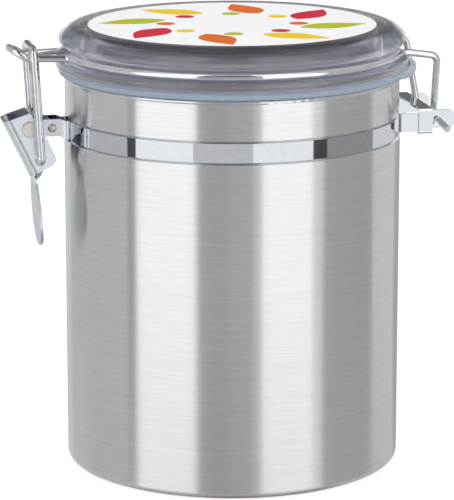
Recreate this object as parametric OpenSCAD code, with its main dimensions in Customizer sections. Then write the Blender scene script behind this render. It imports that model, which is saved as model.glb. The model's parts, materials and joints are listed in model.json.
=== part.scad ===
// Food canister with a wire-clamped lid.
// The steel body stands on the XY plane with its axis on Z.
// The hinge is on the +X side, the clamp on the -X side, and Y = 0 is the mirror plane.

/* [Canister] */
// Outside diameter of the steel body
body_d = 127; // [100:0.5:160]
// Height of the rim above the table
rim_h = 148.8; // [110:0.2:200]
// Thickness of the steel wall and base
wall = 0.8; // [0.6:0.1:1.2]
// Radius of the rounded base edge
base_r = 2.6; // [1.6:0.1:6]
// How far the neck is drawn in from the body wall
neck_in = 0.4; // [0.1:0.1:0.8]
// How far the band groove is rolled in from the body wall
groove_in = 1.1; // [0.9:0.1:2]
// Height of each sloped side of the band groove
groove_slope = 0.8; // [0.4:0.1:1.5]
// Thickness of the rolled bead at the rim
bead_d = 1.6; // [1.2:0.1:2.4]

/* [Neck band] */
// Height of the band strip
band_h = 7; // [6:0.1:9]
// Thickness of the band strip
band_t = 0.8; // [0.6:0.1:1.2]
// Drop from the rim to the top edge of the band
band_drop = 15.6; // [12:0.1:30]
// Inside radius of the bends where arms and ears leave the band
band_bend = 1.5; // [0.8:0.1:3]
// Clear space between the two clamp arms
arm_gap = 8; // [6:0.1:9]
// Height of the clamp arms
arm_h = 6.4; // [5:0.1:8]
// How far the middle of the arms is set up above the middle of the band
arm_rise = 1.1; // [0:0.1:1.5]

/* [Lid hinge] */
// Distance from the body wall to the hinge axis
hinge_out = 12.3; // [11:0.1:16]
// Clear space between the two hinge ears
ear_gap = 33.6; // [30:0.1:40]
// Length of an ear past the hinge axis
ear_end = 6.6; // [4:0.1:10]
// How far the outer part of an ear is set up above the band
ear_rise = 1.1; // [0:0.1:1.5]
// Corner radius at the free end of an ear
ear_corner = 2.4; // [0.5:0.1:3]
// Width of the strap that ties the ears
bridge_w = 5.3; // [4:0.1:6]
// Thickness of the strap that ties the ears
bridge_t = 0.8; // [0.6:0.1:1.2]
// Length of the strap's lips under the ears
bridge_lip = 1.2; // [0.8:0.1:2]

/* [Lid wire] */
// Thickness of the lid wire
wire_d = 2.6; // [2:0.1:3.2]
// Centre-line radius of the bends at the groove and at the top of the legs
wire_bend = 3.2; // [2.4:0.1:5]
// Half the distance between the legs at the top
leg_top = 21.8; // [18:0.1:24]
// Half the distance between the legs at the hinge axis
leg_foot = 11; // [10:0.1:12]
// How far the top of the legs stands inside the hinge axis
leg_lean = 1.9; // [0:0.1:3]
// How far the top of the legs stands below the wire's ring
leg_drop = 1.6; // [0.5:0.1:2.5]
// Length of the wire ends past the ears
pin_tail = 7.5; // [3:0.1:10]
// Angle at which the wire ends are set down past the ears
pin_set = 24; // [0:1:40]
// Distance from the body wall to the start of the nose's upturn
nose_out = 15.1; // [14:0.1:20]
// Half the width of the nose at its upturn
nose_half = 5.9; // [4.5:0.1:6.2]
// Angle at which the two strands of the nose close in
nose_taper = 12; // [5:1:15]
// Angle of the upturned tip
nose_lift = 30; // [15:1:45]
// Straight length of the upturned tip before its round end
nose_tip = 0.9; // [0.8:0.1:4]
// Centre-line radius of the bend at the nose's upturn
tip_bend = 2.4; // [1.8:0.1:2.6]
// Centre-line radius of the bends at the hinge ends
foot_bend = 2.5; // [1.8:0.1:3]

/* [Lid] */
// How far the lower flange stands out past the body wall
lid_over = 2.9; // [2:0.1:5]
// How far the crown's arc would stand out past the body wall at its foot
crown_over = 2.6; // [2:0.1:5]
// Height of the lower flange
flange_h = 3.6; // [2.5:0.1:6]
// Height of the wire groove
slot_h = 4; // [3.6:0.1:6]
// Depth of the wire groove, from the lower flange's edge
slot_in = 4.3; // [3.4:0.1:5]
// Height of the rounded crown
crown_h = 7.9; // [6:0.1:12]
// Radius of the crown's turned-under lower edge
crown_lip = 3.6; // [2:0.1:4]
// Thickness of the lid's top
lid_t = 3; // [2:0.1:4]
// Thickness of the lid's inside skirt
skirt_t = 2.4; // [1.5:0.1:3]
// Clear space between the skirt and the mouth of the body
skirt_gap = 4.8; // [4:0.1:8]
// Length of the skirt below the lower flange
skirt_h = 6.4; // [4:0.1:9]
// Diameter of the label disc
label_d = 108.4; // [80:0.1:110]
// Thickness of the label disc
label_t = 0.4; // [0.2:0.1:0.8]
// Depth of the label's seat
seat_in = 0.6; // [0.5:0.1:1]
// Distance of the fine line round the label from the label's edge
line_out = 3.2; // [2:0.1:3.5]
// Depth of the fine line round the label
line_in = 0.3; // [0.2:0.1:0.4]

/* [Gasket] */
// Height of the sealing ring
gasket_h = 2.8; // [1.5:0.1:5]
// How far the ring's lower edge stands out past the body wall
gasket_under = 0.6; // [0.2:0.1:1]
// How far the ring's upper edge stands out past the body wall
gasket_over = 2; // [1:0.1:2.4]
// How far the ring's pull tab stands out past the body wall
pull_out = 6; // [5:0.1:7]
// Radius of the pull tab's round plan
pull_r = 8.2; // [7:0.1:10]
// Drop of the pull tab below the lid's flange
pull_h = 4.8; // [3.5:0.1:5.5]
// Rise of the pull tab outside the lid's flange
pull_up = 1.4; // [0.8:0.1:2]
// Turn of the pull tab from the hinge toward the front
pull_turn = 11; // [0:1:14]

/* [Clamp lever] */
// Distance from the body wall to the lever's pivot
lever_out = 14.6; // [13:0.1:18]
// Lean of the closed lever, its top standing out
lever_tilt = 25.5; // [15:0.5:30]
// Outside width of the lever's channel
lever_w = 13.8; // [13.6:0.1:15]
// Thickness of the lever's sheet
lever_t = 1; // [0.8:0.1:1.2]
// Distance from the pivot out to the lever's outer face
lever_back = 7.45; // [6.5:0.05:8]
// Distance from the pivot to the inner edge of the side plates
lever_front = 4.1; // [3:0.1:6]
// Length of the side plates above the pivot
lever_top = 6.9; // [5:0.1:9]
// Length of the side plates below the pivot
lever_low = 16.1; // [15.8:0.1:20]
// Corner radius of the side plates at their lower end
plate_corner = 3; // [1:0.1:4]
// Outside bend radius of the channel
channel_bend = 2.8; // [1.5:0.1:3]
// Thickness of the lever rivet
pivot_d = 3.2; // [2.5:0.1:3.6]
// Diameter of the lever rivet's heads
pivot_head_d = 6; // [5:0.1:7]
// Height of the lever rivet's heads
pivot_head_h = 0.7; // [0.4:0.05:0.8]
// Diameter of the washers on the lever rivet
washer_d = 5.6; // [4.6:0.1:6.4]
// Distance of the small arm rivet from the body wall
stud_out = 6; // [4.5:0.1:7]
// Thickness of the small arm rivet between the arms
stud_d = 3; // [2.4:0.1:4]
// Diameter of the small arm rivet's heads
stud_head_d = 3.4; // [2.6:0.1:4]
// Height of the small arm rivet's domed heads
stud_head_h = 1; // [0.4:0.1:1.4]

/* [Thumb tab] */
// Length of the paddle-shaped tab
leaf_l = 24.6; // [20:0.1:35]
// Width of the tab at its round end
leaf_w = 20; // [16:0.1:22]
// Width of the tab at the fold
neck_w = 12; // [10:0.1:13]
// Length of the neck between the side plates and the fold
neck_l = 3.5; // [2.5:0.1:5]
// Width of the side plates' folded-in lower corners
gusset_w = 5.4; // [4:0.1:6]
// Angle at which the lower corners are folded in
gusset_fold = 38; // [20:1:45]
// Lean of the tab, its tip standing in
leaf_tilt = 4.2; // [0:0.1:15]

/* [Clamp loop] */
// Thickness of the loop's wire
loop_d = 3.2; // [2.4:0.1:3.4]
// Distance between the centre lines of the loop's legs
loop_w = 19.8; // [19.2:0.1:22]
// Distance from the body wall to the loop's top bar
bar_out = 13.3; // [12:0.1:14]
// Centre-line radius of the loop's upper corners
loop_bend = 4; // [2.4:0.1:4]
// Centre-line radius of the loop's lower corners
loop_foot = 2.5; // [2:0.1:2.6]
// Distance of the loop's pivot below the lever's pivot
link_down = 12.2; // [10:0.1:13]
// Distance of the loop's pivot inside the lever's pivot
link_in = 3.7; // [2.5:0.1:4]
// Length of the loop's ends inside the lever
loop_end = 1; // [0.4:0.1:2]

/* [Fits] */
// Clearance between sheet pieces that lie on each other
fit = 0.05; // [0.02:0.01:0.1]
// Running clearance of a pin in its hole, on the radius
pin_fit = 0.05; // [0.02:0.01:0.1]
// Gap left between the sealing ring and the rim
seal_gap = 0.1; // [0.05:0.05:0.3]
// Gap left between the loop's bar and the nose
bar_gap = 0.7; // [0.6:0.05:1]

/* [Hidden] */
$fn = 96;
eps = 0.01;
// How much thicker a formed bend is, on the radius, and how far straights run into it
swell = 0.01;
lap = 0.12;

// Body levels and radii
body_r = body_d / 2;
neck_r = body_r - neck_in;
groove_r = body_r - groove_in;
mouth_r = neck_r - wall;
band_ir = groove_r + fit;
band_or = band_ir + band_t;
band_top = rim_h - band_drop;
band_z = band_top - band_h;
band_mid = band_z + band_h / 2;
groove_z0 = band_z - fit;
groove_z1 = band_top + fit;
bead_r = neck_r - wall / 2;

// Lid levels and radii
gasket_z = rim_h + seal_gap;
lid_z = gasket_z + gasket_h;
slot_z = lid_z + flange_h;
crown_z = slot_z + slot_h;
lid_top = crown_z + crown_h;
lid_r = body_r + lid_over;
crown_r = body_r + crown_over;
crown_in = crown_r - crown_h;
crown_edge = crown_in + sqrt(crown_h * crown_h - crown_lip * crown_lip);
slot_r = lid_r - slot_in;
skirt_r = mouth_r - skirt_gap;
pull_in = bead_r + bead_d / 2 + 0.3;
wire_r = slot_r + fit + wire_d / 2;
wire_z = slot_z + slot_h / 2;

// Hinge axis and ears
hinge_x = body_r + hinge_out;
hinge_z = band_mid + ear_rise;
ear_in = ear_gap / 2;
ear_face = ear_in + band_t;
bridge_x1 = hinge_x - wire_d / 2 - leg_lean / 2;
bridge_x0 = bridge_x1 - bridge_w;

// Clamp arms and lever
arm_in = arm_gap / 2;
arm_face = arm_in + band_t;
lever_x = -(body_r + lever_out);
arm_mid = band_mid + arm_rise;
lever_z = arm_mid;
plate_face = lever_w / 2;
plate_in = plate_face - lever_t;
stud_x = -(body_r + stud_out);
link_x = lever_x + link_in;
link_z = lever_z - link_down;
bar_x = -(body_r + bar_out);
bar_z = wire_z + wire_d / 2 + bar_gap + loop_d / 2;

// Vector and wire helpers

function unit(v) = v / norm(v);

// Turn of a path at its corner q
function turn(p, q, s) = acos(unit(q - p) * unit(s - q));

// Length of straight that a bend of radius r takes up at the corner q
function take(p, q, s, r) = r * tan(turn(p, q, s) / 2);

// Straight round bar from p to q
module bar(p, q, d) {
    v = q - p;
    translate(p)
        rotate([0, acos(v.z / norm(v)), atan2(v.y, v.x)])
            cylinder(d = d, h = norm(v), $fn = 48);
}

// Bend of radius r at the corner q, swelled a little as a formed bend is
module bend(p, q, s, r, d) {
    u = unit(q - p);
    w = unit(s - q);
    n = unit(w - (w * u) * u);
    c = q - take(p, q, s, r) * u + r * n;
    k = cross(-n, u);
    multmatrix([[-n.x, u.x, k.x, c.x],
                [-n.y, u.y, k.y, c.y],
                [-n.z, u.z, k.z, c.z],
                [0, 0, 0, 1]])
        rotate_extrude(angle = turn(p, q, s))
            translate([r, 0])
                circle(d = d + 2 * swell, $fn = 48);
}

// Round wire through points, with a bend radius for every inner point.
// Straights run into their bends by the lap, and past the ends by the given amounts.
module wire_run(pts, radii, d, ends = [0, 0]) {
    n = len(pts);
    tl = [for (i = [0:n - 1])
        i == 0 ? -ends[0] :
        i == n - 1 ? -ends[1] :
        take(pts[i - 1], pts[i], pts[i + 1], radii[i - 1]) - lap];
    for (i = [0:n - 2]) {
        u = unit(pts[i + 1] - pts[i]);
        bar(pts[i] + tl[i] * u, pts[i + 1] - tl[i + 1] * u, d);
    }
    for (i = [1:n - 2])
        bend(pts[i - 1], pts[i], pts[i + 1], radii[i - 1], d);
}

// Flat arc of strip between two radii, under half a turn
module strip_arc(r0, r1, a0, a1) {
    far = 2 * r1;
    intersection() {
        difference() {
            circle(r = r1);
            circle(r = r0);
        }
        polygon(concat([[0, 0]],
            [for (i = [0:4])
                let (a = a0 + (a1 - a0) * i / 4) far * [cos(a), sin(a)]]));
    }
}

// Rectangle with round corners between two corner points
module round_rect(a, b, r) {
    translate([a.x + r, a.y]) square([b.x - a.x - 2 * r, b.y - a.y]);
    translate([a.x, a.y + r]) square([b.x - a.x, b.y - a.y - 2 * r]);
    for (x = [a.x + r, b.x - r])
        for (y = [a.y + r, b.y - r])
            translate([x, y]) circle(r = r, $fn = 48);
}

// Steel canister

// Half section of the solid body, set in by t all round
module body_half(t) {
    fillet = base_r - t;
    translate([0, t]) square([body_r - base_r, base_r]);
    translate([body_r - base_r, base_r]) circle(r = fillet);
    translate([0, base_r])
        square([body_r - t, groove_z0 - groove_slope - base_r]);
    polygon([[0, groove_z0 - groove_slope - eps],
             [body_r - t, groove_z0 - groove_slope - eps],
             [body_r - t, groove_z0 - groove_slope],
             [groove_r - t, groove_z0],
             [groove_r - t, groove_z1],
             [neck_r - t, groove_z1 + groove_slope],
             [neck_r - t, rim_h - bead_d / 2],
             [0, rim_h - bead_d / 2]]);
}

module body() {
    color("silver")
        rotate_extrude() {
            difference() {
                body_half(0);
                body_half(wall);
            }
            translate([bead_r, rim_h - bead_d / 2]) circle(d = bead_d, $fn = 48);
        }
}

// Neck band, in two mirrored halves

// Angle on the band at which a bend to a face at half-width y begins
function bend_angle(y) = asin((y + band_bend) / (band_or + band_bend));

// Plan of the bend from the band to a straight piece whose face is at half-width y
module root_bend(y) {
    a = bend_angle(y);
    translate([(band_or + band_bend) * cos(a), -(y + band_bend)])
        strip_arc(band_bend, band_bend + band_t, 90, 180 - a);
}

// Distance from the axis at which the straight piece begins
function root_x(y) = (band_or + band_bend) * cos(bend_angle(y));

// Side view of a hinge ear
module ear_side() {
    x0 = root_x(ear_face) - lap;
    x1 = hinge_x + ear_end;
    up = ear_rise;
    c = ear_corner;
    polygon([[x0, band_z], [bridge_x0, band_z],
             [bridge_x1, band_z + up], [x1 - c, band_z + up],
             [x1, band_z + up + c], [x1, band_top + up - c],
             [x1 - c, band_top + up], [bridge_x1, band_top + up],
             [bridge_x0, band_top], [x0, band_top]]);
    translate([x1 - c, band_z + up + c]) circle(r = c, $fn = 48);
    translate([x1 - c, band_top + up - c]) circle(r = c, $fn = 48);
}

// Side view of a clamp arm
module arm_side() {
    x0 = root_x(arm_face) - lap;
    z0 = arm_mid - arm_h / 2;
    z1 = arm_mid + arm_h / 2;
    polygon([[-x0, band_z], [-x0 - band_t / 2, band_z],
             [-x0 - 3 * band_t, z0], [lever_x, z0], [lever_x, z1],
             [-x0 - 3 * band_t, z1], [-x0 - band_t / 2, band_top],
             [-x0, band_top]]);
    translate([lever_x, arm_mid]) circle(d = arm_h, $fn = 64);
}

// Upright plate from a side view, from y0 toward +Y
module upright(y0, t) {
    translate([0, y0 + t, 0])
        rotate([90, 0, 0])
            linear_extrude(t) children();
}

// Hole along Y through x, z
module cross_hole(x, z, d, y0, y1) {
    translate([x, y0, z])
        rotate([-90, 0, 0])
            cylinder(d = d, h = y1 - y0, $fn = 48);
}

module band_half() {
    over = lap / band_or * 180 / PI;
    difference() {
        union() {
            translate([0, 0, band_z])
                linear_extrude(band_h) {
                    strip_arc(band_ir, band_or, 180 + bend_angle(arm_face) - over,
                        360 - bend_angle(ear_face) + over);
                    root_bend(ear_face);
                    mirror([1, 0]) root_bend(arm_face);
                }
            upright(-ear_face, band_t) ear_side();
            upright(-arm_face, band_t) arm_side();
        }
        cross_hole(hinge_x, hinge_z, wire_d + 2 * pin_fit,
            -ear_face - 1, -ear_in + 1);
        cross_hole(lever_x, lever_z, pivot_d + 2 * fit,
            -arm_face - 1, -arm_in + 1);
        cross_hole(stud_x, arm_mid, stud_d - 1 + 2 * fit,
            -arm_face - 1, -arm_in + 1);
    }
}

module band_front() {
    color("gainsboro") band_half();
}

module band_rear() {
    color("gainsboro") mirror([0, 1, 0]) band_half();
}

// Small rivet: a shouldered stud between the arms with a domed head outside each arm
module arm_rivet() {
    dome_r = (pow(stud_head_d / 2, 2) + pow(stud_head_h, 2)) / (2 * stud_head_h);
    color("wheat")
        translate([stud_x, 0, arm_mid])
            rotate([-90, 0, 0])
                for (s = [0, 180])
                    rotate([s, 0, 0])
                        rotate_extrude() {
                            square([stud_d / 2, arm_in - fit]);
                            square([stud_d / 2 - 0.5, arm_face + 0.2]);
                            intersection() {
                                translate([0, arm_face + fit + stud_head_h - dome_r])
                                    circle(r = dome_r);
                                translate([0, arm_face + fit])
                                    square([stud_head_d, stud_head_h]);
                            }
                        }
}

// Large rivet: the lever's pivot, with a flat head outside each side plate
module lever_rivet() {
    head_y = plate_face + 2 * fit;
    edge = pivot_head_h / 2;
    color("tan")
        translate([lever_x, 0, lever_z])
            rotate([-90, 0, 0])
                for (s = [0, 180])
                    rotate([s, 0, 0])
                        rotate_extrude() {
                            square([pivot_d / 2, head_y + edge]);
                            translate([0, head_y])
                                square([pivot_head_d / 2 - edge, pivot_head_h]);
                            translate([0, head_y])
                                square([pivot_head_d / 2, edge]);
                            translate([pivot_head_d / 2 - edge, head_y + edge])
                                circle(r = edge, $fn = 32);
                        }
}

// Washers that keep the lever central on the arms
module lever_washers() {
    color("silver")
        for (s = [-1, 1])
            translate([lever_x, s * (arm_face + plate_in) / 2, lever_z])
                rotate([-90, 0, 0])
                    difference() {
                        cylinder(d = washer_d, h = plate_in - arm_face - 4 * fit,
                            center = true, $fn = 64);
                        cylinder(d = pivot_d + 2 * fit, h = plate_in, center = true, $fn = 48);
                    }
}

// Strap over the two hinge ears, its ends folded down and under
module hinge_bridge() {
    y0 = ear_face + fit;
    y1 = y0 + bridge_t;
    z0 = band_z - fit;
    z1 = band_top + ear_rise + fit;
    color("gainsboro")
        translate([bridge_x0, 0, 0])
            rotate([90, 0, 90])
                linear_extrude(bridge_w)
                    difference() {
                        round_rect([-y1, z0 - bridge_t], [y1, z1 + bridge_t], bridge_t * 1.2);
                        round_rect([-y0, z0], [y0, z1], bridge_t * 0.2);
                        translate([-y0 + bridge_lip, z0 - bridge_t - 1])
                            square([2 * (y0 - bridge_lip), bridge_t + 2]);
                    }
}

// Clamp lever

// Place in the lever's own frame: X toward the canister, Z up along the lever
module on_lever() {
    translate([lever_x, 0, lever_z])
        rotate([0, -lever_tilt, 0]) children();
}

// Side view of the lever's channel
module plate_side() {
    c = plate_corner;
    polygon([[-lever_back, lever_top], [lever_front - 1.3, lever_top - 1.4],
             [lever_front, -lever_top + 0.4],
             [lever_front - 0.1, c - lever_low], [lever_front - 0.1 - c, -lever_low],
             [-lever_back, -lever_low]]);
    translate([lever_front - 0.1 - c, c - lever_low]) circle(r = c, $fn = 48);
}

// Lower corner of the front side plate, folded in toward the neck
module gusset() {
    translate([-lever_back, 0.06 - plate_face, 0.4 - lever_low])
        rotate([gusset_fold, 0, 0])
            upright(0, lever_t)
                polygon([[channel_bend + 0.2, 0], [gusset_w, 0],
                         [gusset_w / 2 + 0.6, -0.8 * neck_l],
                         [0.8 * lever_t, -1.15 * neck_l], [0.4 * lever_t, -neck_l]]);
}

// Section of the lever's channel
module channel_section() {
    open = lever_front + 2;
    difference() {
        round_rect([-lever_back, -plate_face], [open + 3, plate_face], channel_bend);
        round_rect([lever_t - lever_back, -plate_in], [open + 6, plate_in],
            channel_bend - lever_t + 0.2);
    }
}

// Angle between the channel's outer face and the thumb tab
tab_fold = lever_tilt - leaf_tilt;

// Outline of the thumb tab, its fold at the origin and its round end toward -Y
module leaf_outline() {
    hw = leaf_w / 2;
    nw = neck_w / 2;
    run = leaf_l - hw;
    big = (run * run + pow(hw - nw, 2)) / (2 * (hw - nw));
    translate([0, -run]) {
        circle(r = hw);
        intersection() {
            translate([big - hw, 0]) circle(r = big);
            translate([hw - big, 0]) circle(r = big);
            translate([-hw, 0]) square([leaf_w, run]);
        }
    }
    translate([-nw, -lever_t])
        square([neck_w, lever_t + (neck_l + lever_t / 3) * cos(tab_fold)]);
}

// Side view of the thumb tab, folded from the channel's outer face
module tab_side() {
    knee = [-lever_back, -lever_low - neck_l];
    tip = knee + (leaf_l + 1) * [-sin(tab_fold), -cos(tab_fold)];
    polygon([[-lever_back, lever_t - lever_low], knee, tip,
             tip + lever_t * [cos(tab_fold), -sin(tab_fold)],
             knee + lever_t * [1, -tan(tab_fold / 2)],
             [lever_t - lever_back, lever_t - lever_low]]);
}

module lever() {
    color("lightgray")
        difference() {
            on_lever() {
                intersection() {
                    upright(-plate_face - 1, lever_w + 2) plate_side();
                    translate([0, 0, -lever_low])
                        linear_extrude(lever_low + lever_top) channel_section();
                }
                gusset();
                mirror([0, 1, 0]) gusset();
                intersection() {
                    upright(-leaf_w, 2 * leaf_w) tab_side();
                    translate([-lever_back, 0, -lever_low - neck_l])
                        rotate([0, tab_fold, 0])
                            rotate([90, 0, 90])
                                translate([0, 0, -leaf_w])
                                    linear_extrude(2 * leaf_w) leaf_outline();
                }
            }
            cross_hole(lever_x, lever_z, pivot_d + 2 * pin_fit, -lever_w, lever_w);
            cross_hole(link_x, link_z, loop_d + 2 * pin_fit, -lever_w, lever_w);
        }
}

// Wire loop from the lever over the nose
module clamp_loop() {
    h = loop_w / 2;
    e = plate_in - loop_end;
    color("gainsboro")
        wire_run([[link_x, -e, link_z], [link_x, -h, link_z], [bar_x, -h, bar_z],
                  [bar_x, h, bar_z], [link_x, h, link_z], [link_x, e, link_z]],
            [loop_foot, loop_bend, loop_bend, loop_foot], loop_d);
}

// Lid wire

// Angle on the ring at which the wire turns out to the hinge
hinge_turn = asin((leg_top + wire_bend) / (wire_r + wire_bend));

// Distance of the nose's strand line from the axis, and its angle on the ring
strand_off = (body_r + nose_out) * sin(nose_taper) + nose_half * cos(nose_taper);
nose_turn = nose_taper + 180 - asin((wire_bend + strand_off) / (wire_r + wire_bend));

// One half of the wire, on the +Y side
module wire_half() {
    pivot = [hinge_x, 0, hinge_z];
    out_y = ear_face + wire_d / 2;
    tail = [pin_tail * sin(pin_set) * 0.5, pin_tail * cos(pin_set),
            -pin_tail * sin(pin_set) * 0.85];
    far = wire_r + wire_bend;
    leave = [far * cos(hinge_turn), leg_top, wire_z];
    nose = [-(body_r + nose_out), nose_half, wire_z];
    strand = [far * cos(nose_turn) + wire_bend * sin(nose_taper),
              far * sin(nose_turn) - wire_bend * cos(nose_taper), wire_z];
    rise = [-cos(nose_lift), 0, sin(nose_lift)];

    // Ring in the lid's groove
    over = lap / wire_r * 180 / PI;
    translate([0, 0, wire_z])
        rotate([0, 0, hinge_turn - over])
            rotate_extrude(angle = nose_turn - hinge_turn + 2 * over)
                translate([wire_r, 0]) circle(d = wire_d, $fn = 48);

    // Turn out to the hinge
    translate([leave.x, leave.y + wire_bend, wire_z])
        rotate([0, 0, 180 + hinge_turn])
            plan_bend(90 - hinge_turn);

    // Leg, with its end turned out through the ear and set down
    wire_run([leave, leave + [wire_d / 2, 0, 0],
              [hinge_x - leg_lean, leg_top, wire_z - leg_drop],
              pivot + [0, leg_foot, 0], pivot + [0, out_y, 0],
              pivot + [0, out_y, 0] + tail],
        [wire_bend, wire_bend, foot_bend, foot_bend], wire_d, [lap, 0]);

    // Turn out to the nose
    translate([far * cos(nose_turn), far * sin(nose_turn), wire_z])
        rotate([0, 0, -90 + nose_taper])
            plan_bend(nose_turn - 90 - nose_taper);

    // Strand of the nose up to its round end
    wire_run([strand, nose, nose + nose_tip * rise], [tip_bend], wire_d, [lap, lap]);
}

// Level bend of the lid wire, from +X round by an angle
module plan_bend(angle) {
    rotate_extrude(angle = angle)
        translate([wire_bend, 0]) circle(d = wire_d + 2 * swell, $fn = 48);
}

module lid_wire() {
    color("gainsboro") {
        wire_half();
        mirror([0, 1, 0]) wire_half();
        // Round end of the nose
        translate([-(body_r + nose_out) - nose_tip * cos(nose_lift), 0,
                   wire_z + nose_tip * sin(nose_lift)])
            rotate([0, nose_lift, 0])
                rotate([0, 0, 90])
                    rotate_extrude(angle = 180)
                        translate([nose_half, 0])
                            circle(d = wire_d + 2 * swell, $fn = 48);
    }
}

// Lid, sealing ring and label

module lid_half() {
    edge = 0.9;
    difference() {
        union() {
            // Lower flange with rounded edges
            translate([0, lid_z]) square([lid_r - edge, flange_h]);
            translate([0, lid_z + edge]) square([lid_r, flange_h - 2 * edge]);
            for (z = [lid_z + edge, slot_z - edge])
                translate([lid_r - edge, z]) circle(r = edge, $fn = 48);
            // Core behind the wire groove
            translate([0, lid_z]) square([slot_r, lid_top - lid_z - crown_h / 2]);
            // Rounded crown with a turned-under lower edge
            translate([0, crown_z]) square([crown_in, crown_h]);
            intersection() {
                translate([crown_in, crown_z]) circle(r = crown_h);
                translate([crown_in, crown_z + crown_lip]) square(crown_h + 1);
            }
            translate([0, crown_z])
                square([crown_edge - crown_lip, crown_lip + eps]);
            intersection() {
                translate([crown_edge - crown_lip, crown_z + crown_lip])
                    circle(r = crown_lip);
                translate([crown_edge - crown_lip, crown_z])
                    square([crown_lip + 1, crown_lip + eps]);
            }
            // Skirt inside the mouth
            translate([0, lid_z - skirt_h]) square([skirt_r, skirt_h + eps]);
        }
        translate([0, lid_z - skirt_h - 1])
            square([skirt_r - skirt_t, lid_top - seat_in - lid_t - lid_z + skirt_h + 1]);
        translate([0, lid_top - seat_in])
            square([label_d / 2 + 4 * fit, seat_in + 1]);
        // Fine line round the label
        translate([label_d / 2 + line_out, lid_top])
            polygon([[-2 * line_in, line_in], [0, -line_in], [2 * line_in, line_in]]);
    }
}

module lid() {
    color("lightsteelblue", 0.7)
        rotate_extrude() lid_half();
}

module lid_gasket() {
    color("lightblue") {
        rotate_extrude()
            polygon([[skirt_r + fit, gasket_z], [body_r + gasket_under, gasket_z],
                     [body_r + gasket_over, gasket_z + gasket_h / 3],
                     [body_r + gasket_over, lid_z], [skirt_r + fit, lid_z]]);
        // Pull tab beside the hinge
        intersection() {
            rotate_extrude() pull_half();
            rotate([0, 0, -pull_turn])
                translate([body_r + pull_out - pull_r, 0, lid_z - pull_h - 1])
                    cylinder(r = pull_r, h = pull_h + pull_up + 2);
        }
    }
}

// Half section of the ring's pull tab, which folds up outside the flange
module pull_half() {
    low = lid_z - pull_h;
    high = lid_z + pull_up;
    out = body_r + pull_out;
    polygon([[pull_in, low + 0.8], [pull_in + 0.8, low], [out - 1.8, low],
             [out - 0.5, low + 0.8], [out, low + 2.2], [out, high - 1.8],
             [out - 0.5, high - 0.6], [out - 1.5, high], [lid_r + 0.1, high],
             [lid_r + 0.1, lid_z], [pull_in, lid_z]]);
}

module lid_label() {
    color("white")
        translate([0, 0, lid_top - seat_in])
            cylinder(d = label_d, h = label_t, $fn = 128);
}

body();
band_front();
band_rear();
arm_rivet();
lever_rivet();
lever_washers();
hinge_bridge();
lever();
clamp_loop();
lid_wire();
lid();
lid_gasket();
lid_label();
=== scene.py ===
"""Looks of the clamp-lid food canister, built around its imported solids."""

import json
import math

import bmesh
import bpy
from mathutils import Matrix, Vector

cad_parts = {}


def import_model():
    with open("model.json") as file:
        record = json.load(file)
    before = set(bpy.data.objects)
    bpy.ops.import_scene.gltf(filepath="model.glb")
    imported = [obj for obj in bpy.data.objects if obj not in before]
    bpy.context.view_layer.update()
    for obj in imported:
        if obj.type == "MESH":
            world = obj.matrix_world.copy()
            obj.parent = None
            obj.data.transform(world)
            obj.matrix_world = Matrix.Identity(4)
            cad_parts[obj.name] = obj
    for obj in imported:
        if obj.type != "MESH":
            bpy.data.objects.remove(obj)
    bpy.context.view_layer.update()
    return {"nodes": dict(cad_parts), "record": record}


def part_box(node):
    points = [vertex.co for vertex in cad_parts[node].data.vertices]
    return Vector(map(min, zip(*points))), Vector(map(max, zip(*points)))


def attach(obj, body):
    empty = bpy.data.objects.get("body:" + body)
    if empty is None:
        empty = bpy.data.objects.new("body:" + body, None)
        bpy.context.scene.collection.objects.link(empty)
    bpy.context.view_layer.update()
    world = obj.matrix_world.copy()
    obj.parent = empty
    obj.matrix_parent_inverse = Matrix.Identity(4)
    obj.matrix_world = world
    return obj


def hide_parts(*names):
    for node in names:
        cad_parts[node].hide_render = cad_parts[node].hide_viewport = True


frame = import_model()
nodes = frame["nodes"]
scene = bpy.context.scene

MM = 0.001

# Places on the part in mm, from the middle of its base
DULL_AND_SHADED_BELOW = 85.0   # the body's wall gets rougher, and its colour is painted darker as painted shade, from this height down
ARMS_PAST = -64.9   # the clamp arms lie past this X, and their plating is painted darker there as painted shade
FLANGE_TOP = 155.3  # top of the lid's lower flange
LID_TOP = 167.2     # the lid's flat top ring
RING_R = 65.4       # the sealing ring's outside
PULL_R = 67.8       # where the ring's pull tab has become thin and pale


# ---------------------------------------------------------------- helpers

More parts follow.
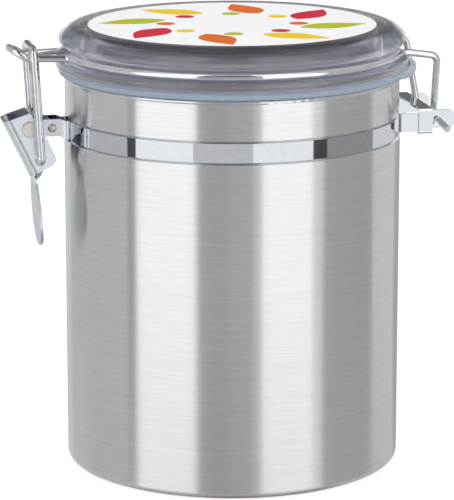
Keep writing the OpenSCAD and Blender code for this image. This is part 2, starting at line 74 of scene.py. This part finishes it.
class Graph:
    """A material's node tree, with short calls for adding and linking nodes."""

    def __init__(self, name):
        self.mat = bpy.data.materials.new(name)
        self.mat.use_nodes = True
        self.tree = self.mat.node_tree
        self.tree.nodes.clear()
        self.out = self.tree.nodes.new("ShaderNodeOutputMaterial")

    def add(self, kind, **values):
        node = self.tree.nodes.new(kind)
        for key, value in values.items():
            setattr(node, key, value)
        return node

    def link(self, a, b):
        self.tree.links.new(a, b)

    def bsdf(self, **sockets):
        node = self.add("ShaderNodeBsdfPrincipled")
        for key, value in sockets.items():
            node.inputs[key.replace("_", " ")].default_value = value
        self.link(node.outputs["BSDF"], self.out.inputs["Surface"])
        return node

    def place(self):
        """Object coordinates in metres."""
        return self.add("ShaderNodeTexCoord").outputs["Object"]

    def axis(self, letter):
        """One object coordinate in metres."""
        node = self.add("ShaderNodeSeparateXYZ")
        self.link(self.place(), node.inputs[0])
        return node.outputs[letter]

    def radius(self):
        """Distance from the upright axis in metres."""
        flat = self.add("ShaderNodeVectorMath", operation="MULTIPLY")
        flat.inputs[1].default_value = (1, 1, 0)
        self.link(self.place(), flat.inputs[0])
        node = self.add("ShaderNodeVectorMath", operation="LENGTH")
        self.link(flat.outputs["Vector"], node.inputs[0])
        return node.outputs["Value"]

    def noise(self, scale, detail=2.0, rough=0.5):
        """Noise of 0 to 1, with a scale per axis."""
        mapping = self.add("ShaderNodeMapping")
        mapping.inputs["Scale"].default_value = scale
        self.link(self.place(), mapping.inputs["Vector"])
        node = self.add("ShaderNodeTexNoise")
        node.inputs["Scale"].default_value = 1.0
        node.inputs["Detail"].default_value = detail
        node.inputs["Roughness"].default_value = rough
        self.link(mapping.outputs["Vector"], node.inputs["Vector"])
        return node.outputs["Fac"]

    def ramp(self, value, start, end, low=0.0, high=1.0, **kind):
        """A value that runs from start to end mapped to a range, and held past its ends."""
        node = self.add("ShaderNodeMapRange", **kind)
        node.inputs["From Min"].default_value = start
        node.inputs["From Max"].default_value = end
        node.inputs["To Min"].default_value = low
        node.inputs["To Max"].default_value = high
        self.link(value, node.inputs["Value"])
        return node.outputs["Result"]

    def spread(self, noise, low, high):
        """Noise, which keeps near its middle, mapped to a range."""
        return self.ramp(noise, 0.25, 0.75, low, high)

    def shade(self, noise, dark, light):
        """Noise mapped between two colours."""
        node = self.add("ShaderNodeValToRGB")
        first, last = node.color_ramp.elements
        first.position, first.color = 0.3, (*dark, 1)
        last.position, last.color = 0.7, (*light, 1)
        self.link(noise, node.inputs["Fac"])
        return node.outputs["Color"]

    def scaled(self, colour, share):
        """A colour times a share."""
        node = self.add("ShaderNodeVectorMath", operation="SCALE")
        self.link(colour, node.inputs[0])
        self.link(share, node.inputs["Scale"])
        return node.outputs["Vector"]

    def bump(self, value, strength, distance):
        node = self.add("ShaderNodeBump")
        node.inputs["Strength"].default_value = strength
        node.inputs["Distance"].default_value = distance
        self.link(value, node.inputs["Height"])
        return node.outputs["Normal"]


def put(name, data):
    """A new object in the scene."""
    obj = bpy.data.objects.new(name, data)
    scene.collection.objects.link(obj)
    return obj


def mesh_of(name, bm):
    """The mesh that a bmesh holds, and the bmesh is freed."""
    mesh = bpy.data.meshes.new(name)
    bm.to_mesh(mesh)
    bm.free()
    return mesh


def smooth_mesh(name, bm, sharp_from=32):
    """A smooth mesh with edges kept sharp from an angle in degrees."""
    bmesh.ops.recalc_face_normals(bm, faces=bm.faces)
    mesh = mesh_of(name, bm)
    mesh.polygons.foreach_set("use_smooth", [True] * len(mesh.polygons))
    mesh.set_sharp_from_angle(angle=math.radians(sharp_from))
    return mesh


def piece(name, mesh, body, slot, *mats):
    """A visual piece that rides on a body of the part."""
    obj = put(name, mesh)
    for m in mats:
        mesh.materials.append(m)
    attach(obj, body)
    return obj


# ---------------------------------------------------------------- materials

def brushed_steel():
    """Stainless sheet brushed round the body: level streaks, so gloss spreads up and down.

    The lower wall is set rougher, and its colour is painted darker towards the bottom as
    painted shade. The lower wall is set duller and a little darker, to match the photo's
    tones there.
    """
    g = Graph("body_steel")
    p = g.bsdf(Metallic=1.0, Anisotropic=0.95, Anisotropic_Rotation=0.25)
    fine = g.noise((60, 60, 2400))
    wide = g.noise((14, 14, 900))
    fine_part = g.add("ShaderNodeMath", operation="MULTIPLY")
    fine_part.inputs[1].default_value = 0.7
    g.link(fine, fine_part.inputs[0])
    streaks = g.add("ShaderNodeMath", operation="MULTIPLY_ADD")
    streaks.inputs[1].default_value = 0.3
    g.link(wide, streaks.inputs[0])
    g.link(fine_part.outputs[0], streaks.inputs[2])
    shade = g.shade(streaks.outputs[0], (0.715, 0.715, 0.72), (0.78, 0.78, 0.785))
    height = g.axis("Z")
    # Painted shade: the colour is darkened towards the bottom of the wall
    painted_shade_share = g.ramp(height, DULL_AND_SHADED_BELOW * MM, 0, 1.0, 0.91)
    g.link(g.scaled(shade, painted_shade_share), p.inputs["Base Color"])
    # Even, and below 0.27: a streaky roughness rendered as a band of ripples at the height
    # where it crossed about that value, perhaps from the denoiser.
    g.link(g.ramp(height, DULL_AND_SHADED_BELOW * MM, 0, 0.2225, 0.268), p.inputs["Roughness"])
    g.link(g.bump(fine, 0.04, 0.00002), p.inputs["Normal"])
    tangent = g.add("ShaderNodeTangent", direction_type="RADIAL", axis="Z")
    g.link(tangent.outputs["Tangent"], p.inputs["Tangent"])
    return g.mat


def plated(name, dark, light, rough, wave, shaded_past=None):
    """Bright plated metal with a faint ripple and haze, its colour painted darker past an X as
    painted shade, if one is given.
    """
    g = Graph(name)
    p = g.bsdf(Metallic=1.0)
    haze = g.noise((420, 420, 420), 3.0, 0.55)
    ripple = g.noise((150, 150, 150), 1.0, 0.4)
    shade = g.shade(haze, dark, light)
    if shaded_past is not None:
        # Painted shade: the colour is darkened past the X
        painted_shade_share = g.ramp(g.axis("X"), shaded_past * MM, (shaded_past - 1.2) * MM, 1.0, 0.75)
        shade = g.scaled(shade, painted_shade_share)
    g.link(shade, p.inputs["Base Color"])
    g.link(g.spread(haze, *rough), p.inputs["Roughness"])
    g.link(g.bump(ripple, wave, 0.0003), p.inputs["Normal"])
    return g.mat


def lid_plastic():
    """Clear plastic with a smoky lilac tint and faint flow rings.

    It is hazier low down, and its flat top ring is painted dark, as painted shade for the
    shaded inside seen through it.
    """
    g = Graph("lid_acrylic")
    flow = g.noise((60, 60, 240))
    rings = g.noise((12, 12, 1200), 1.0)
    rough = g.spread(flow, 0.10, 0.24)
    normal = g.bump(flow, 0.05, 0.0004)
    height = g.axis("Z")

    def plastic(shade, ior, clearness):
        """A moulded shell hardly bends the view, and its gloss is a hard coat's."""
        p = g.bsdf(IOR=ior, Transmission_Weight=clearness, Coat_Weight=1.0, Coat_IOR=1.55,
                   Coat_Roughness=0.03)
        g.link(shade, p.inputs["Base Color"])
        g.link(rough, p.inputs["Roughness"])
        g.link(normal, p.inputs["Normal"])
        return p

    def blend(below, above, level, over):
        """One shader passing into another above a level in mm, over a height in mm."""
        both = g.add("ShaderNodeMixShader")
        g.link(g.ramp(height, level * MM, (level + over) * MM), both.inputs["Fac"])
        g.link(below.outputs[0], both.inputs[1])
        g.link(above.outputs[0], both.inputs[2])
        return both

    flange = plastic(g.shade(rings, (0.66, 0.63, 0.74), (0.98, 0.955, 1.0)), 1.2, 0.84)
    waist = plastic(g.shade(rings, (0.74, 0.72, 0.82), (0.99, 0.98, 1.0)), 1.05, 0.82)
    crown = plastic(g.shade(flow, (0.74, 0.73, 0.82), (0.84, 0.83, 0.92)), 1.05, 0.955)
    # Painted shade: the flat top ring is tinted dark to stand for the shaded inside
    top = plastic(g.shade(flow, (0.17, 0.17, 0.19), (0.25, 0.25, 0.27)), 1.05, 0.955)
    whole = blend(flange, waist, FLANGE_TOP, 0.4)
    whole = blend(whole, crown, LID_TOP - 5.4, 1.0)
    whole = blend(whole, top, LID_TOP - 0.9, 0.6)
    g.link(whole.outputs[0], g.out.inputs["Surface"])
    return g.mat


def silicone():
    """Translucent blue-grey silicone, paler out in the thin pull tab."""
    g = Graph("gasket_silicone")
    p = g.bsdf(IOR=1.42, Transmission_Weight=0.45, Subsurface_Weight=0.25,
               Subsurface_Scale=0.002)
    cloud = g.noise((300, 300, 300), 3.0, 0.6)
    thin = g.ramp(g.radius(), RING_R * MM, PULL_R * MM, interpolation_type="SMOOTHSTEP")
    tint = g.add("ShaderNodeMix", data_type="RGBA")
    g.link(thin, tint.inputs["Factor"])
    g.link(g.shade(cloud, (0.60, 0.74, 0.88), (0.68, 0.82, 0.95)), tint.inputs["A"])
    g.link(g.shade(cloud, (0.86, 0.87, 0.90), (0.92, 0.93, 0.96)), tint.inputs["B"])
    g.link(tint.outputs["Result"], p.inputs["Base Color"])
    g.link(g.spread(cloud, 0.38, 0.52), p.inputs["Roughness"])
    g.link(g.bump(cloud, 0.08, 0.0002), p.inputs["Normal"])
    return g.mat


def card(name, dark, light, gloss):
    """Coated printed card with a fine tooth."""
    g = Graph(name)
    p = g.bsdf(IOR=1.45, Specular_IOR_Level=0.04)
    tooth = g.noise((2200, 2200, 2200), 3.0, 0.6)
    g.link(g.shade(tooth, dark, light), p.inputs["Base Color"])
    g.link(g.spread(tooth, gloss - 0.05, gloss + 0.05), p.inputs["Roughness"])
    g.link(g.bump(tooth, 0.08, 0.00005), p.inputs["Normal"])
    return g.mat


materials = {
    "body_steel": brushed_steel(),
    "band_chrome": plated("band_chrome", (0.775, 0.81, 0.845), (0.83, 0.865, 0.90),
                          (0.035, 0.07), 0.03, ARMS_PAST),
    "wire_chrome": plated("wire_chrome", (0.74, 0.75, 0.78), (0.84, 0.85, 0.87),
                          (0.07, 0.14), 0.06),
    "lever_chrome": plated("lever_chrome", (0.705, 0.75, 0.795), (0.785, 0.83, 0.875),
                           (0.20, 0.28), 0.06),
    "rivet_nickel": plated("rivet_nickel", (0.70, 0.66, 0.60), (0.80, 0.76, 0.70),
                           (0.30, 0.42), 0.10),
    "lid_acrylic": lid_plastic(),
    "gasket_silicone": silicone(),
    "label_card": card("label_card", (0.95, 0.95, 0.945), (0.985, 0.985, 0.98), 0.40),
}
for part in frame["record"]["subparts"]:
    node = nodes[part["node"]]
    for s in node.material_slots:
        s.material = materials[part["material_slot"]]


# ---------------------------------------------------------------- label print

# A ring of leaves and berries, in mm and degrees
LEAVES = 8
FIRST_TURN = 12
LEAF_LENGTH, LEAF_WIDTH, LEAF_OUT, LEAF_LEAN = 27, 13, 27, 42
BERRY_R, BERRY_OUT, BERRY_TURN, BERRY_SIDES = 3.6, 25, 22, 24
PRINT_ABOVE, PRINT_DEPTH = 0.04, 0.08
INK_GLOSS = 0.36
INKS = [card("ink_red", (0.60, 0.010, 0.035), (0.68, 0.022, 0.05), INK_GLOSS),
        card("ink_orange", (0.72, 0.13, 0.008), (0.80, 0.18, 0.014), INK_GLOSS),
        card("ink_yellow", (0.84, 0.60, 0.008), (0.90, 0.66, 0.014), INK_GLOSS),
        card("ink_lime", (0.44, 0.50, 0.012), (0.52, 0.58, 0.022), INK_GLOSS)]


def leaf_points(length, width, n=14):
    """Outline of a pointed leaf along +X, its stem at the origin."""
    upper = [(length * i / n, width / 2 * math.sin(math.pi * (i / n) ** 0.8))
             for i in range(n + 1)]
    return upper + [(x, -y) for x, y in reversed(upper[1:-1])]


def berry_points(radius, sides):
    """Outline of a round berry about the origin."""
    turns = [2 * math.pi * k / sides for k in range(sides)]
    return [(radius * math.cos(a), radius * math.sin(a)) for a in turns]


def placed(points, angle, radius, lean):
    """Points moved to a place on the label: out along an angle, and leaned from it."""
    a, b = math.radians(angle), math.radians(angle + lean)
    cx, cy = radius * math.cos(a), radius * math.sin(a)
    return [(cx + x * math.cos(b) - y * math.sin(b), cy + x * math.sin(b) + y * math.cos(b))
            for x, y in points]


def print_mesh(name, shapes, z, depth):
    """Printed shapes as one mesh of thin plates: each shape is points and a material index."""
    bm = bmesh.new()
    for points, index in shapes:
        top = [bm.verts.new((x, y, z)) for x, y in points]
        low = [bm.verts.new((x, y, z - depth)) for x, y in points]
        faces = [bm.faces.new(top), bm.faces.new(low[::-1])]
        for i in range(len(top)):
            j = (i + 1) % len(top)
            faces.append(bm.faces.new((top[i], low[i], low[j], top[j])))
        for face in faces:
            face.material_index = index
    bmesh.ops.recalc_face_normals(bm, faces=bm.faces)
    return mesh_of(name, bm)


label_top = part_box("lid_label")[1].z
leaf = leaf_points(LEAF_LENGTH * MM, LEAF_WIDTH * MM)
berry = berry_points(BERRY_R * MM, BERRY_SIDES)
shapes = []
for i in range(LEAVES):
    turn = 360 / LEAVES * i + FIRST_TURN
    shapes.append((placed(leaf, turn, LEAF_OUT * MM, LEAF_LEAN), i % len(INKS)))
    shapes.append((placed(berry, turn + BERRY_TURN, BERRY_OUT * MM, 0), (i + 2) % len(INKS)))
piece("label_print",
      print_mesh("label_print", shapes, label_top + PRINT_ABOVE * MM, PRINT_DEPTH * MM),
      "lid_set", "label_card", *INKS)


# ---------------------------------------------------------------- clear lid

def arc(cx, cz, r, a0, a1, n):
    """Points of an arc in a half section, angles in degrees from straight out."""
    angles = [math.radians(a0 + (a1 - a0) * i / n) for i in range(n + 1)]
    return [(cx + r * math.cos(a), cz + r * math.sin(a)) for a in angles]


def revolve(bm, profile, turns=192):
    """Half section in mm (distance, height) turned round the axis, from axis to axis."""
    rings = []
    for r, z in profile:
        if r == 0:
            rings.append([bm.verts.new((0, 0, z * MM))])
        else:
            rings.append([bm.verts.new((r * MM * math.cos(2 * math.pi * k / turns),
                                        r * MM * math.sin(2 * math.pi * k / turns), z * MM))
                          for k in range(turns)])
    for a, b in zip(rings, rings[1:]):
        for k in range(turns):
            n = (k + 1) % turns
            if len(a) == 1:
                bm.faces.new((a[0], b[k], b[n]))
            elif len(b) == 1:
                bm.faces.new((a[k], b[0], a[n]))
            else:
                bm.faces.new((a[k], b[k], b[n], a[n]))


def lid_mesh():
    """The lid's solid, finely turned, its lower flange bedded on the sealing ring."""
    bm = bmesh.new()
    # The label's recess, its floor just clear of the card, then the fine line round it
    outer = [(0, 166.54), (53.6, 166.54), (54.4, 166.54), (54.4, LID_TOP),
             (57.1, LID_TOP), (57.4, 166.9), (57.7, LID_TOP)]
    # The crown's shoulder and waist, down to the groove of the lid's wire
    outer += arc(58.2, 159.3, 7.9, 90, 27.1, 18)
    outer += arc(61.63, 162.9, 3.6, 0, -82, 14)[1:]
    # The lower flange
    outer += [(62.1, FLANGE_TOP)]
    outer += arc(65.5, 154.4, 0.9, 90, 0, 6) + arc(65.5, 152.54, 0.9, 0, -90, 6)
    # The skirt and the underside
    outer += [(57.5, 151.64), (57.5, 145.8), (57.0, 145.3), (55.6, 145.3), (55.1, 145.8),
              (55.1, 162.8), (54.3, 163.6), (53.5, 163.6), (0, 163.6)]
    revolve(bm, outer)
    return smooth_mesh("lid_clear", bm)


lid_clear = piece("lid_clear", lid_mesh(), "lid_set", "lid_acrylic", materials["lid_acrylic"])
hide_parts("lid")


# ---------------------------------------------------------------- sealing ring

# The pull tab beside the hinge: its angle, and how far it spreads to either side
PULL_TURN = -11.0
PULL_SPREAD = (24.0, 15.0)


def pull_share(angle):
    """How far the ring is drawn out into its pull tab at an angle in degrees, 0 to 1."""
    off = (angle - PULL_TURN + 180) % 360 - 180
    reach = PULL_SPREAD[0] if off < 0 else PULL_SPREAD[1]
    return math.cos(math.pi / 2 * off / reach) ** 2 if abs(off) < reach else 0.0


def ring_section(w):
    """Half section of the ring in mm, drawn out by w: inner lower edge round to inner top."""
    lip = min(1.0, 1.3 * w)
    rise = 1.4 * max(0.0, (w - 0.45) / 0.55)
    return [(57.7, 149.2), (58.0, 148.9), (63.6 + 1.4 * w, 148.9 - 1.5 * w),
            (64.15 + 2.6 * w, 149.0 - 1.95 * w), (64.75 + 3.4 * w, 149.35 - 1.7 * w),
            (65.2 + 3.8 * w, 149.8 - 1.1 * w), (65.45 + 3.95 * w, 150.5 - 0.4 * w),
            (65.5 + 3.95 * w, 151.0 + 0.3 * rise), (65.4 + 3.7 * w, 151.4 + 0.7 * rise),
            (65.15 + 3.0 * w, 151.65 + rise), (64.8 + 2.0 * lip, 151.7 + rise),
            (64.6 + 1.95 * lip, 151.7 + 0.4 * rise), (64.5 + 1.8 * lip, 151.7), (58.0, 151.7),
            (57.7, 151.4)]


def ring_mesh(turns=480):
    """The sealing ring, its section drawn out smoothly where the pull tab is."""
    bm = bmesh.new()
    rings = []
    for k in range(turns):
        angle = 360 * k / turns
        c, s = math.cos(math.radians(angle)), math.sin(math.radians(angle))
        rings.append([bm.verts.new((r * MM * c, r * MM * s, z * MM))
                      for r, z in ring_section(pull_share(angle))])
    for a, b in zip(rings, rings[1:] + rings[:1]):
        for i in range(len(a)):
            j = (i + 1) % len(a)
            bm.faces.new((a[i], b[i], b[j], a[j]))
    return smooth_mesh("ring_soft", bm, 40)


ring_soft = piece("ring_soft", ring_mesh(), "lid_set", "gasket_silicone",
                  materials["gasket_silicone"])
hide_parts("lid_gasket")


# ---------------------------------------------------------------- floor

FLOOR_SIZE, FLOOR_Z = 8.0, -0.0002


def floor_mesh():
    bm = bmesh.new()
    bmesh.ops.create_grid(bm, x_segments=2, y_segments=2, size=FLOOR_SIZE / 2)
    bmesh.ops.translate(bm, verts=bm.verts, vec=(0, 0, FLOOR_Z))
    return mesh_of("floor", bm)


def floor_material():
    """White to the eye but for soft shadows, plain grey to the light that bounces off it."""
    g = Graph("floor_pale")
    shadow = g.add("ShaderNodeBsdfDiffuse")
    shadow.inputs["Color"].default_value = (0.35, 0.35, 0.35, 1)
    glow = g.add("ShaderNodeEmission")
    glow.inputs["Color"].default_value = (0.78, 0.78, 0.78, 1)
    white = g.add("ShaderNodeAddShader")
    g.link(shadow.outputs[0], white.inputs[0])
    g.link(glow.outputs[0], white.inputs[1])
    plain = g.add("ShaderNodeBsdfDiffuse")
    plain.inputs["Color"].default_value = (0.8, 0.8, 0.8, 1)
    path = g.add("ShaderNodeLightPath")
    seen = g.add("ShaderNodeMath", operation="MAXIMUM")
    g.link(path.outputs["Is Camera Ray"], seen.inputs[0])
    g.link(path.outputs["Is Transmission Ray"], seen.inputs[1])
    pick = g.add("ShaderNodeMixShader")
    g.link(seen.outputs[0], pick.inputs["Fac"])
    g.link(plain.outputs[0], pick.inputs[1])
    g.link(white.outputs[0], pick.inputs[2])
    g.link(pick.outputs[0], g.out.inputs["Surface"])
    return g.mat


floor = put("floor", floor_mesh())
floor.data.materials.append(floor_material())
floor.visible_glossy = False


# ---------------------------------------------------------------- studio panels

CAMERA_TURN = math.radians(12.3)
PANEL_R, PANEL_Z = 3.0, 0.1
PANEL_WIDE, PANEL_TALL = 4, 10  # largest face of a panel, in degrees

# Studio panels round the object, which only gloss shows, in rows by height angle:
# (lowest angle, highest angle, [(start, end, brightness)]), where start and end are in
# degrees to the right of the camera's side.
FAR = [(-180, -150, 0.84), (-150, -120, 0.78), (-120, -76, 0.68), (-76, -68, 0.75),
       (-68, -23.5, 1.55), (-23.5, -2, 0.31), (-2, 20, 0.41), (20, 65, 1.58),
       (65, 107, 0.56), (107, 180, 0.66)]
NEAR = [(-180, -146, 0.64), (-146, -75, 0.48), (-75, -68, 0.07), (-68, -26, 0.96),
        (-26, 14, 0.57), (14, 56, 0.92), (56, 67, 0.07), (67, 111, 0.29),
        (111, 148, 0.66), (148, 180, 0.40)]
ABOVE = [(-180, -150, 0.20), (-150, -68, 0.5), (-68, -23.5, 1.2), (-23.5, 20, 0.34),
         (20, 65, 1.2), (65, 150, 0.5), (150, 180, 0.16)]
HIGH = [(-180, -140, 0.30), (-140, -68, 0.50), (-68, -23.5, 1.3), (-23.5, 20, 0.06),
        (20, 65, 1.3), (65, 140, 0.50), (140, 180, 0.30)]
UNDER = [(-180, 82, 0.42), (82, 112, 0.10), (112, 180, 0.42)]
ROWS = [(-90, -80, [(-180, 180, 0.06)]), (-80, -52, UNDER), (-52, -30, [(-180, 180, 0.62)]),
        (-30, -19, FAR), (-19, -7, NEAR), (-7, 6, FAR), (6, 42, ABOVE), (42, 72, HIGH),
        (72, 90, [(-180, 180, 0.15)])]


def panel_material(level):
    g = Graph("panel_%d" % round(level * 100))
    glow = g.add("ShaderNodeEmission")
    glow.inputs["Color"].default_value = (level, level, level * 1.01, 1)
    g.link(glow.outputs[0], g.out.inputs["Surface"])
    return g.mat


def on_sphere(turn, height):
    """A point of the panels' sphere, turn and height in degrees."""
    a = math.radians(turn) - math.pi / 2 - CAMERA_TURN
    e = math.radians(height)
    return (PANEL_R * math.cos(e) * math.cos(a), PANEL_R * math.cos(e) * math.sin(a),
            PANEL_Z + PANEL_R * math.sin(e))


def studio_panels():
    """All panels as one object, with a material per brightness."""
    levels = sorted({level for _, _, panels in ROWS for _, _, level in panels})
    bm = bmesh.new()
    for low, high, panels in ROWS:
        tall = max(1, math.ceil((high - low) / PANEL_TALL))
        for start, end, level in panels:
            wide = max(2, math.ceil((end - start) / PANEL_WIDE))
            for i in range(wide):
                for j in range(tall):
                    corners = [on_sphere(start + (end - start) * u / wide,
                                         low + (high - low) * v / tall)
                               for u, v in ((i, j), (i + 1, j), (i + 1, j + 1), (i, j + 1))]
                    face = bm.faces.new([bm.verts.new(corner) for corner in corners])
                    face.material_index = levels.index(level)
    obj = put("studio_panels", mesh_of("studio_panels", bm))
    for level in levels:
        obj.data.materials.append(panel_material(level))
    obj.visible_camera = False
    obj.visible_diffuse = False
    obj.visible_transmission = False
    obj.visible_shadow = False


studio_panels()


# ---------------------------------------------------------------- lamps and world

LAMPS_AIM = Vector((0, 0, 0.1))
# Name, place, width and height, power; gloss shows the panels in their stead
LAMPS = [("top_soft", (0.1, -0.2, 1.7), (1.4, 1.4), 11.0),
         ("left_soft", (-1.3, -0.9, 0.9), (0.8, 1.2), 5.0),
         ("right_soft", (1.1, -1.1, 0.7), (0.8, 1.2), 4.0)]

for name, place, size, power in LAMPS:
    light = bpy.data.lights.new(name, "AREA")
    light.shape = "RECTANGLE"
    light.size, light.size_y = size
    light.energy = power
    lamp = put(name, light)
    lamp.location = place
    lamp.rotation_euler = (LAMPS_AIM - Vector(place)).to_track_quat("-Z", "Y").to_euler()
    lamp.visible_camera = False
    lamp.visible_glossy = False
    lamp.visible_transmission = False


def world():
    """White where it is looked at, mirrored or seen through; a soft grey light elsewhere."""
    w = bpy.data.worlds.new("studio")
    scene.world = w
    w.use_nodes = True
    new, link = w.node_tree.nodes.new, w.node_tree.links.new
    w.node_tree.nodes.clear()
    out = new("ShaderNodeOutputWorld")
    white = new("ShaderNodeBackground")
    white.inputs["Color"].default_value = (1, 1, 1, 1)
    soft = new("ShaderNodeBackground")
    soft.inputs["Color"].default_value = (0.55, 0.55, 0.56, 1)
    path = new("ShaderNodeLightPath")
    mirrored = new("ShaderNodeMath")
    mirrored.operation = "MAXIMUM"
    link(path.outputs["Is Camera Ray"], mirrored.inputs[0])
    link(path.outputs["Is Glossy Ray"], mirrored.inputs[1])
    seen = new("ShaderNodeMath")
    seen.operation = "MAXIMUM"
    link(mirrored.outputs[0], seen.inputs[0])
    link(path.outputs["Is Transmission Ray"], seen.inputs[1])
    pick = new("ShaderNodeMixShader")
    link(seen.outputs[0], pick.inputs["Fac"])
    link(soft.outputs[0], pick.inputs[1])
    link(white.outputs[0], pick.inputs[2])
    link(pick.outputs[0], out.inputs["Surface"])


world()


# ---------------------------------------------------------------- camera

# Fitted to the photograph: level distance and height, downward pitch, focal length in
# pixels of a 454 by 500 frame, and the column of the canister's axis.
CAM_OUT, CAM_UP, CAM_PITCH = 1.0744, 0.3312, 13.18
FOCAL_PX, FRAME_W, FRAME_H, AXIS_PX = 2884.0, 454.0, 500.0, 232.1

cam_data = bpy.data.cameras.new("camera")
cam_data.sensor_fit = "VERTICAL"
cam_data.sensor_height = 24.0
cam_data.lens = FOCAL_PX / FRAME_H * cam_data.sensor_height
cam_data.shift_x = (FRAME_W / 2 - AXIS_PX) / FRAME_H
cam = put("camera", cam_data)
cam.location = (-CAM_OUT * math.sin(CAMERA_TURN), -CAM_OUT * math.cos(CAMERA_TURN), CAM_UP)
cam.rotation_euler = (math.radians(90 - CAM_PITCH), 0, -CAMERA_TURN)
scene.camera = cam

scene.view_settings.view_transform = "Standard"
